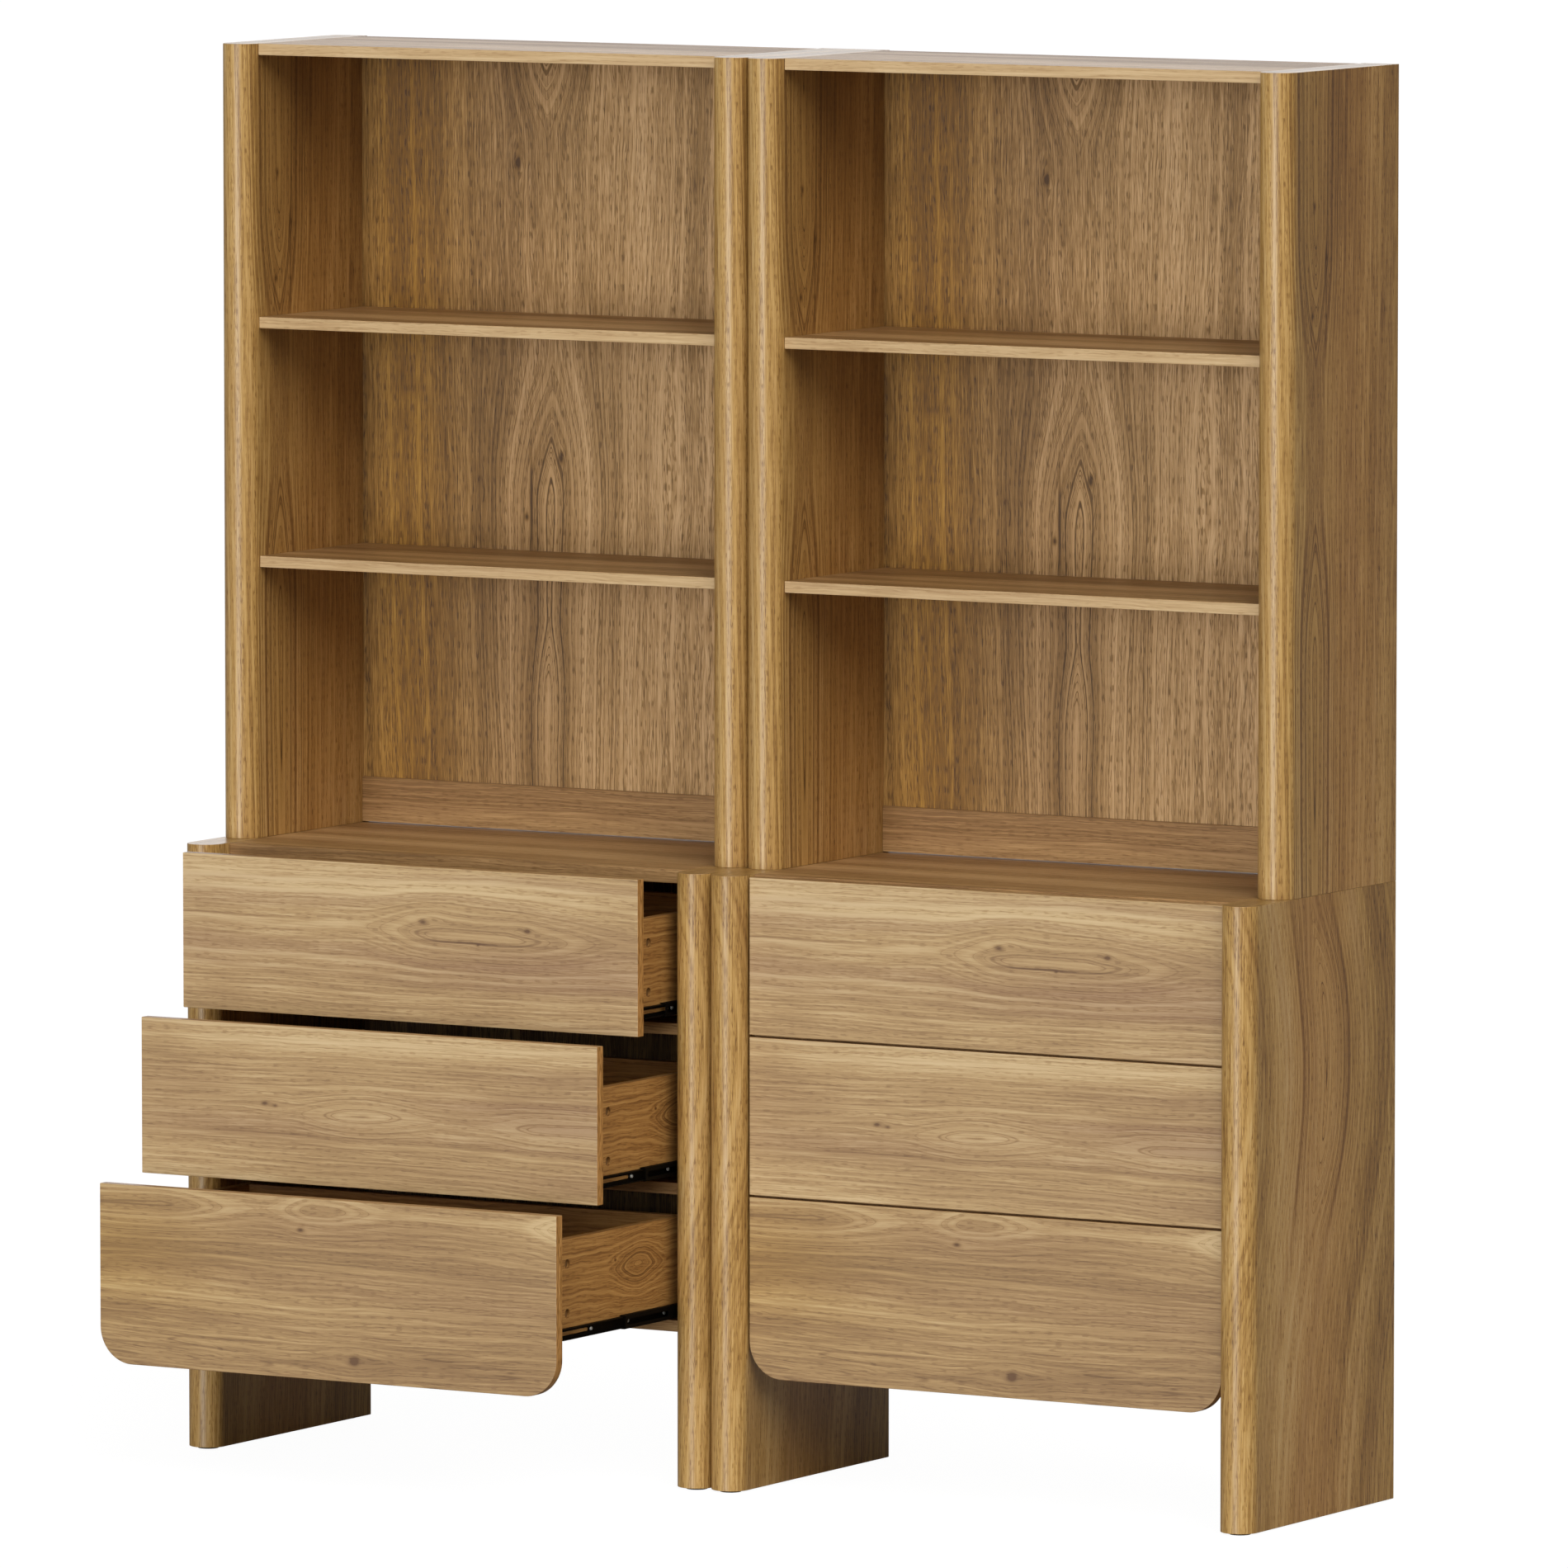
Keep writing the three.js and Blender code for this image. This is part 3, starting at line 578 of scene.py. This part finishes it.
def makeGlides(side, hand):
    node = f"{side}_chest_side_{hand}"
    low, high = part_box(node)
    middle = innerFace(side, hand) - inwardSign(hand) * mm(slabLook["thickness"]) / 2
    shape = bmesh.new()
    height = mm(glideLook["height"] + glideLook["seat"])
    for y in (low.y + mm(glideLook["frontInset"]), high.y - mm(glideLook["backInset"])):
        addRod(shape, (middle, y, low.z + height / 2), (0, 0, 1), mm(glideLook["diameter"]) / 2, height,
               sides["glide"])
    lowerRims = [edge for edge in shape.edges if all(vert.co.z < low.z + height / 2 for vert in edge.verts)]
    roundEdges(shape, lowerRims, mm(glideLook["round"]), glideLook["roundSteps"])
    finishPiece(shape, f"{side}_glide_pads_{hand}", "carcass", [node], [glidePlastic])


# Boards between the slabs, with cam locks let into their undersides near the four corners
boardLook = {"arris": 0.8, "camDiameter": 15, "camDepth": 12.5, "camEndInset": 34, "camEdgeInset": 45,
             "camPlay": 0.2, "camSink": 0.6, "slotWidth": 2, "slotDepth": 3, "slotLength": 10}


def camSpots(low, high):
    ends = (low.x + mm(boardLook["camEndInset"]), high.x - mm(boardLook["camEndInset"]))
    edges = (low.y + mm(boardLook["camEdgeInset"]), high.y - mm(boardLook["camEdgeInset"]))
    return itertools.product(ends, edges)


def makeBoard(side, node, cut, withCams=True, banded=True):
    low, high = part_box(node)
    shape = bmesh.new()
    addBlock(shape, low, high)
    easeArrises(shape, mm(boardLook["arris"]))
    if withCams:
        cutter = bmesh.new()
        depth = mm(boardLook["camDepth"])
        for x, y in camSpots(low, high):
            addRod(cutter, (x, y, low.z + (depth - overrun) / 2), (0, 0, 1), mm(boardLook["camDiameter"]) / 2,
                   depth + overrun, sides["cam"])
        if node.endswith("chest_top"):  # the groove that holds the chest's back panel
            panelLow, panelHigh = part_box(f"{side}_chest_back")
            addBlock(cutter, (low.x - overrun, panelLow.y - play, low.z - overrun),
                     (high.x + overrun, panelHigh.y + play, panelHigh.z + play))
        shape = carve(shape, cutter)
    faceMaterials(shape, {(1, -1): 1})
    layFoil(shape, 0, (2, 1), cut)
    finishPiece(shape, f"{node}_board", "carcass", [node],
                [boardOak, edgeOak if banded else boardOak])


def makeCams(side, nodes):
    shape, cutter = bmesh.new(), bmesh.new()
    radius = mm(boardLook["camDiameter"]) / 2 - mm(boardLook["camPlay"])
    sink = mm(boardLook["camSink"])
    depth = mm(boardLook["camDepth"]) - sink - mm(boardLook["camPlay"])
    halfSlot, halfWidth = mm(boardLook["slotLength"]) / 2, mm(boardLook["slotWidth"]) / 2
    for node in nodes:
        low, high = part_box(node)
        for x, y in camSpots(low, high):
            addRod(shape, (x, y, low.z + sink + depth / 2), (0, 0, 1), radius, depth, sides["cam"])
            for reachX, reachY in ((halfSlot, halfWidth), (halfWidth, halfSlot)):
                addBlock(cutter, (x - reachX, y - reachY, low.z - overrun),
                         (x + reachX, y + reachY, low.z + sink + mm(boardLook["slotDepth"])))
    shape = carve(shape, cutter)
    finishPiece(shape, f"{side}_cam_locks", "carcass", nodes, [zinc])


# Back panels: 3 mm hardboard, foil on the face and raw behind. The drawers' bottoms are the same board.
panelLook = {"arris": 0.3}


def makePanel(side, storey):
    node = f"{side}_{storey}_back"
    shape = bmesh.new()
    addBlock(shape, *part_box(node))
    easeArrises(shape, mm(panelLook["arris"]))
    faceMaterials(shape, {(1, 1): 1})
    layFoil(shape, 2, (1, -1), foilCuts[f"{storey}Panel"])
    finishPiece(shape, f"{side}_{storey}_back_panel", "carcass", [node],
                [backOak, hardboard])


# The rail behind the lowest bay, grooved along its top for the back panel
railLook = {"arris": 0.8, "grooveDepth": 6}


def makeRail(side):
    node = f"{side}_hutch_rear_rail"
    low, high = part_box(node)
    panelLow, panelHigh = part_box(f"{side}_hutch_back")
    shape, cutter = bmesh.new(), bmesh.new()
    addBlock(shape, low, high)
    easeArrises(shape, mm(railLook["arris"]))
    addBlock(cutter, (low.x - overrun, panelLow.y - play, high.z - mm(railLook["grooveDepth"])),
             (high.x + overrun, panelHigh.y + play, high.z + overrun))
    shape = carve(shape, cutter)
    layFoil(shape, 0, (1, -1), foilCuts["rail"])
    finishPiece(shape, f"{side}_hutch_rear_rail_board", "carcass", [node], [boardOak])


# Telescopic slides: roll-formed C channels, 1.2 mm steel, one inside the other
slideLook = {"gauge": 1.2, "bend": 2.4, "bendSteps": 4, "gap": 12.5, "length": 300, "frontInset": 1,
             "cabinetLip": 9.4, "runnerLip": 9.1, "runnerHeight": 14.6, "slotStart": 8, "slotLength": 66,
             "slotHeight": 5, "runnerHole": 4, "runnerHoles": (79.5, 169.5, 259.5), "cabinetHole": 5,
             "cabinetHoles": (35, 131, 227), "play": 0.4, "windowStart": 4.5, "windowLength": 102,
             "windowHeight": 7.6}

# Low round heads with a cross recess. Diameters and heights in mm, the rest as shares of those
screwLook = {"cabinetHead": (4.8, 1), "runnerHead": (5.6, 2), "seat": 0.1, "crossLength": 0.62,
             "crossWidth": 0.17, "crossDepth": 0.5, "round": 0.9, "roundSteps": 5}


def addSlot(shape, wall, start, length, middle, height):  # a round-ended slot through a steel web
    radius = height / 2
    through = mm(slideLook["gauge"]) * 2 + overrun
    slot = addRod(shape, (wall, start + radius, middle), (1, 0, 0), radius, through, sides["hole"])
    farHalf = [vert for vert in slot if vert.co.y > start + radius + touching]
    bmesh.ops.translate(shape, vec=(0, length - 2 * radius, 0), verts=farHalf)


def addScrewHead(heads, crosses, seat, outward, diameter, height):
    diameter, height = mm(diameter), mm(height)
    middle = seat + Vector((outward * height / 2, 0, 0))
    rim = addRod(heads, middle, (1, 0, 0), diameter / 2, height, sides["screw"])
    top = [edge for edge in {edge for vert in rim for edge in vert.link_edges}
           if all((vert.co.x - middle.x) * outward > 0 for vert in edge.verts)]
    roundEdges(heads, top, height * screwLook["round"], screwLook["roundSteps"])
    long, wide = diameter * screwLook["crossLength"] / 2, diameter * screwLook["crossWidth"] / 2
    face = seat.x + outward * height
    for reachY, reachZ in ((long, wide), (wide, long)):
        addBlock(crosses, (face - outward * height * screwLook["crossDepth"], seat.y - reachY, seat.z - reachZ),
                 (face + outward * overrun, seat.y + reachY, seat.z + reachZ))


def makeChannel(web, lip, low, high, front, back):
    # A strip is drawn as web and two lips, its two bends are rounded, and it gets its gauge
    outline = bmesh.new()
    places = ((lip, low), (web, low), (web, high), (lip, high))
    verts = [outline.verts.new((x, front, z)) for x, z in places]
    edges = [outline.edges.new(pair) for pair in zip(verts, verts[1:])]
    drawn = bmesh.ops.extrude_edge_only(outline, edges=edges)["geom"]
    moved = [item for item in drawn if isinstance(item, bmesh.types.BMVert)]
    bmesh.ops.translate(outline, vec=(0, back - front, 0), verts=moved)
    folds = [edge for edge in outline.edges if len(edge.link_faces) == 2]
    roundEdges(outline, folds, mm(slideLook["bend"]), slideLook["bendSteps"])
    bmesh.ops.recalc_face_normals(outline, faces=outline.faces)
    middle = Vector(((web + lip) / 2, (front + back) / 2, (low + high) / 2))
    flat = max(outline.faces, key=lambda face: face.calc_area())
    if (middle - flat.calc_center_median()).dot(flat.normal) > 0:
        bmesh.ops.reverse_faces(outline, faces=outline.faces)
    bmesh.ops.solidify(outline, geom=outline.faces, thickness=mm(slideLook["gauge"]))
    return outline


def slideFront(side):  # the front ends of the three members when the drawer is shut
    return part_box(f"{side}_chest_top")[0].y + mm(slideLook["frontInset"])


def drawerOpening(side, level):  # how far a drawer stands open at rest
    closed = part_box(f"{side}_chest_top")[0].y - mm(frontLook["gap"])
    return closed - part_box(f"{side}_{level}_drawer_front")[1].y


def slideMiddle(side, level):
    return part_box(f"{side}_{level}_drawer_box")[0].z + mm(slideLook["runnerHeight"]) / 2


def makeCabinetMembers(side, hand):
    node = f"{side}_chest_side_{hand}"
    inward, wall, front = inwardSign(hand), innerFace(side, hand), slideFront(side)
    gauge = mm(slideLook["gauge"])
    room = gauge + mm(slideLook["play"])
    joined, cutter, heads, crosses = (bmesh.new() for part in range(4))
    for level in levels:
        linkLow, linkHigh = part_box(f"{side}_{level}_slide_link_{hand}")
        channel = makeChannel(wall, wall + inward * mm(slideLook["cabinetLip"]), linkLow.z - room,
                              linkHigh.z + room, front, front + mm(slideLook["length"]))
        mesh = bpy.data.meshes.new("strip")
        channel.to_mesh(mesh)
        channel.free()
        joined.from_mesh(mesh)
        bpy.data.meshes.remove(mesh)
        for start in slideLook["cabinetHoles"]:
            spot = Vector((wall, front + mm(start), slideMiddle(side, level)))
            addRod(cutter, spot + Vector((inward * gauge, 0, 0)), (1, 0, 0), mm(slideLook["cabinetHole"]) / 2,
                   gauge * 2 + overrun, sides["hole"])
            seat = spot + Vector((inward * gauge * screwLook["seat"], 0, 0))
            addScrewHead(heads, crosses, seat, inward, *screwLook["cabinetHead"])
    finishPiece(carve(joined, cutter), f"{side}_cabinet_members_{hand}", "carcass", [node],
                [steel])
    finishPiece(carve(heads, crosses), f"{side}_cabinet_screws_{hand}", "carcass", [node],
                [zinc])


def makeLink(side, level, hand):
    node = f"{side}_{level}_slide_link_{hand}"
    low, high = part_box(node)
    web, lip = (low.x, high.x) if hand == "left" else (high.x, low.x)
    shape = makeChannel(web, lip, low.z, high.z, low.y, high.y)
    window = bmesh.new()  # through it the runner's screws are reached
    addSlot(window, web, low.y + mm(slideLook["windowStart"]), mm(slideLook["windowLength"]),
            (low.z + high.z) / 2, mm(slideLook["windowHeight"]))
    finishPiece(carve(shape, window), f"{side}_{level}_link_member_{hand}", f"{side}_{level}_links", [node],
                [steel])


# Drawers: a front board, the lowest with round lower corners, and a box. The recesses in the box's sides are
# for the fittings that hold the front. The front's gap is what it leaves to the boards behind it when shut.
frontLook = {"arris": 1, "grooveDepth": 6, "cornerRadius": {"upper": 0, "middle": 0, "lower": 48},
             "cornerSteps": 16, "gap": 1.5}
boxLook = {"thickness": 12, "arris": 0.8, "grooveDepth": 6, "recessDiameter": 12, "recessDepth": 4,
           "recessSetback": 27, "recessDrops": (32, 96), "capThickness": 0.4, "capPlay": 0.1}


def makeFront(side, level):
    node = f"{side}_{level}_drawer_front"
    low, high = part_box(node)
    shape = bmesh.new()
    addBlock(shape, low, high)
    if frontLook["cornerRadius"][level]:
        corners = [edge for edge in shape.edges if abs(edge.verts[0].co.y - edge.verts[1].co.y) > touching
                   and edge.verts[0].co.z < low.z + touching]
        roundEdges(shape, corners, mm(frontLook["cornerRadius"][level]), frontLook["cornerSteps"])
    easeArrises(shape, mm(frontLook["arris"]))
    panelLow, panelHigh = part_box(f"{side}_{level}_drawer_bottom")
    cutter = bmesh.new()
    addBlock(cutter, (panelLow.x - play, high.y - mm(frontLook["grooveDepth"]), panelLow.z - play),
             (panelHigh.x + play, high.y + overrun, panelHigh.z + play))
    shape = carve(shape, cutter)
    faceMaterials(shape, {(0, -1): 1, (0, 1): 1, (2, -1): 1, (2, 1): 2})
    layFoil(shape, 0, (1, -1), foilCuts["front"])
    finishPiece(shape, f"{side}_{level}_front_board", f"{side}_{level}_drawer", [node],
                [frontOak[level], sawnOak, boardOak])


def makeRunner(side, level, hand, outer, heads, crosses):  # the drawer member, screwed to a box side
    inward = inwardSign(hand)
    gauge = mm(slideLook["gauge"])
    front = slideFront(side) - drawerOpening(side, level)
    middle, half = slideMiddle(side, level), mm(slideLook["runnerHeight"]) / 2
    channel = makeChannel(outer, outer - inward * mm(slideLook["runnerLip"]), middle - half, middle + half,
                          front, front + mm(slideLook["length"]))
    holes = bmesh.new()
    addSlot(holes, outer, front + mm(slideLook["slotStart"]), mm(slideLook["slotLength"]), middle,
            mm(slideLook["slotHeight"]))
    for start in slideLook["runnerHoles"]:
        spot = Vector((outer, front + mm(start), middle))
        addRod(holes, spot, (1, 0, 0), mm(slideLook["runnerHole"]) / 2, gauge * 2 + overrun, sides["hole"])
        addScrewHead(heads, crosses, spot - Vector((inward * gauge, 0, 0)), -inward, *screwLook["runnerHead"])
    finishPiece(carve(channel, holes), f"{side}_{level}_runner_{hand}", f"{side}_{level}_drawer",
                [f"{side}_{level}_drawer_box"], [steel])


def makeBox(side, level):
    node, body = f"{side}_{level}_drawer_box", f"{side}_{level}_drawer"
    low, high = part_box(node)
    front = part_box(f"{side}_{level}_drawer_front")[1].y
    panelLow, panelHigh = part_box(f"{side}_{level}_drawer_bottom")
    thickness, capDepth = mm(boxLook["thickness"]), mm(boxLook["capThickness"])
    depth, radius = mm(boxLook["recessDepth"]), mm(boxLook["recessDiameter"]) / 2
    caps, heads, crosses = (bmesh.new() for part in range(3))
    insides = []
    for hand in hands:
        inward = inwardSign(hand)
        outer = innerFace(side, hand) + inward * mm(slideLook["gap"])
        inner = outer + inward * thickness
        insides.append(inner)
        shape, cutter = bmesh.new(), bmesh.new()
        addBlock(shape, (outer, front, low.z), (inner, high.y, high.z))
        easeArrises(shape, mm(boxLook["arris"]))
        addBlock(cutter, (inner - inward * mm(boxLook["grooveDepth"]), front - overrun, panelLow.z - play),
                 (inner + inward * overrun, high.y + overrun, panelHigh.z + play))
        for drop in boxLook["recessDrops"]:
            spot = Vector((outer, front + mm(boxLook["recessSetback"]), high.z - mm(drop)))
            addRod(cutter, spot + Vector((inward * (depth - overrun) / 2, 0, 0)), (1, 0, 0), radius,
                   depth + overrun, sides["recess"])
            addRod(caps, spot + Vector((inward * (depth - capDepth / 2), 0, 0)), (1, 0, 0),
                   radius - mm(boxLook["capPlay"]), capDepth, sides["recess"])
        shape = carve(shape, cutter)
        layFoil(shape, 1, (0, -inward), foilCuts["boxSide"][hand])
        finishPiece(shape, f"{side}_{level}_box_side_{hand}", body, [node], [boxOak])
        makeRunner(side, level, hand, outer, heads, crosses)
    finishPiece(caps, f"{side}_{level}_joint_caps", body, [node], [capPlasticPaintedShade])
    finishPiece(carve(heads, crosses), f"{side}_{level}_runner_screws", body, [node],
                [zinc])

    shape = bmesh.new()
    addBlock(shape, (min(insides), high.y - thickness, panelHigh.z + play), (max(insides), high.y, high.z))
    easeArrises(shape, mm(boxLook["arris"]))
    layFoil(shape, 0, (1, -1), foilCuts["boxBack"])
    finishPiece(shape, f"{side}_{level}_box_back", body, [node], [boxOak])

    shape = bmesh.new()
    addBlock(shape, panelLow, panelHigh)
    easeArrises(shape, mm(panelLook["arris"]))
    faceMaterials(shape, {(2, -1): 1})
    layFoil(shape, 0, (2, 1), foilCuts["boxBottom"])
    finishPiece(shape, f"{side}_{level}_bottom_panel", body, [f"{side}_{level}_drawer_bottom"],
                [backOak, hardboard])


for side in towers:
    for storey, hand in itertools.product(("hutch", "chest"), hands):
        makeSlab(side, storey, hand)
    boards = [f"{side}_{name}" for name in ("hutch_top", "shelf_upper", "shelf_lower", "chest_top",
                                            "chest_bottom")]
    for index, node in enumerate(boards):
        makeBoard(side, node, [index * step for step in foilCuts["boardStep"]], banded="chest" not in node)
    makeCams(side, boards)
    for index, level in enumerate(("upper", "lower")):
        place = foilCuts["dividers"] + index * foilCuts["dividerStep"]
        makeBoard(side, f"{side}_divider_{level}", (place, 0), withCams=False, banded=False)
    for storey in ("hutch", "chest"):
        makePanel(side, storey)
    makeRail(side)
    for hand in hands:
        makeGlides(side, hand)
        makeCabinetMembers(side, hand)
    print(side, "carcass made")
    for level in levels:
        makeFront(side, level)
        makeBox(side, level)
        for hand in hands:
            makeLink(side, level, hand)
    print(side, "drawers made")


# The setting: a pale floor and white room, a level light from the front with a wider one about it, a broad
# high one on the right, and a low one behind on the left for the views from the rear
lightLook = {
    # strength, degrees sideways from the front, degrees above the floor, and how wide it looks in degrees
    "suns": {"level front": (1.0, 0, 0, 23), "soft front": (0.82, 2, 2, 38), "high right": (2.0, 55, 39, 50),
             "rear left": (1.1, -150, 10, 60)},
    "dome": 0.08, "backdrop": 1.0, "reflected": 0.22, "floorGlow": 0.97, "floorPale": 0.1,
    "floorBounce": 0.4, "floorSize": 600,
}
white = (1, 1, 1, 1)


def addSun(name, strength, sideways, rise, angle):
    light = bpy.data.lights.new(name, "SUN")
    light.energy = strength
    light.angle = math.radians(angle)
    lamp = bpy.data.objects.new(name, light)
    azimuth, height = math.radians(sideways), math.radians(rise)
    level = math.cos(height)
    towards = Vector((math.sin(azimuth) * level, -math.cos(azimuth) * level, math.sin(height)))
    lamp.rotation_euler = towards.to_track_quat("Z", "Y").to_euler()
    bpy.context.scene.collection.objects.link(lamp)


def makeFloor():  # the camera sees it glow like the backdrop, and the object gets a dimmer bounce from it
    shape = bmesh.new()
    bmesh.ops.create_grid(shape, x_segments=1, y_segments=1, size=lightLook["floorSize"])
    mesh = bpy.data.meshes.new("floor")
    shape.to_mesh(mesh)
    shape.free()
    floor = bpy.data.objects.new("floor", mesh)
    bpy.context.scene.collection.objects.link(floor)
    material, add = newMaterial("pale studio floor")
    seen = add("LightPath", {}, [])
    glow = add("Emission", {}, {"Color": white, "Strength": lightLook["floorGlow"]})
    pale = add("BsdfDiffuse", {}, {"Color": [lightLook["floorPale"]] * 3 + [1]})
    dim = add("BsdfDiffuse", {}, {"Color": [lightLook["floorBounce"]] * 3 + [1]})
    lit = add("AddShader", {}, [glow, pale])
    add("OutputMaterial", {}, [add("MixShader", {}, [seen, dim, lit])])
    mesh.materials.append(material)
    floor.visible_shadow = False  # half of the front light comes from below the horizon


def makeWorld():
    world = bpy.data.worlds.new("soft room")
    world.use_nodes = True
    world.node_tree.nodes.clear()
    add = partial(addNode, world.node_tree)
    seen = add("LightPath", {}, [])
    room, reflected, backdrop = (add("Background", {}, {"Color": white, "Strength": lightLook[name]})
                                 for name in ("dome", "reflected", "backdrop"))
    room = add("MixShader", {}, [seen.node.outputs["Is Glossy Ray"], room, reflected])
    add("OutputWorld", {}, [add("MixShader", {}, [seen, room, backdrop])])
    bpy.context.scene.world = world


# Pitched and unshifted. The place is in mm, the angles in degrees
cameraLook = {"place": (9995.3, -16668.2, 2758), "yaw": 30.729, "pitch": -5.427, "focusPixels": 18406.8,
              "pictureWidth": 1900, "sensorWidth": 36, "clipEnd": 2000}


def makeCamera():
    data = bpy.data.cameras.new("camera")
    data.sensor_width = cameraLook["sensorWidth"]
    data.lens = cameraLook["focusPixels"] / cameraLook["pictureWidth"] * cameraLook["sensorWidth"]
    data.clip_end = cameraLook["clipEnd"]
    camera = bpy.data.objects.new("camera", data)
    camera.location = mm(*cameraLook["place"])
    camera.rotation_euler = (math.radians(90 + cameraLook["pitch"]), 0, math.radians(cameraLook["yaw"]))
    bpy.context.scene.collection.objects.link(camera)
    bpy.context.scene.camera = camera


makeFloor()
makeWorld()
for name, place in lightLook["suns"].items():
    addSun(name, *place)
makeCamera()
bpy.context.scene.view_settings.view_transform = "Standard"
print("setting made")

bpy.context.view_layer.update()
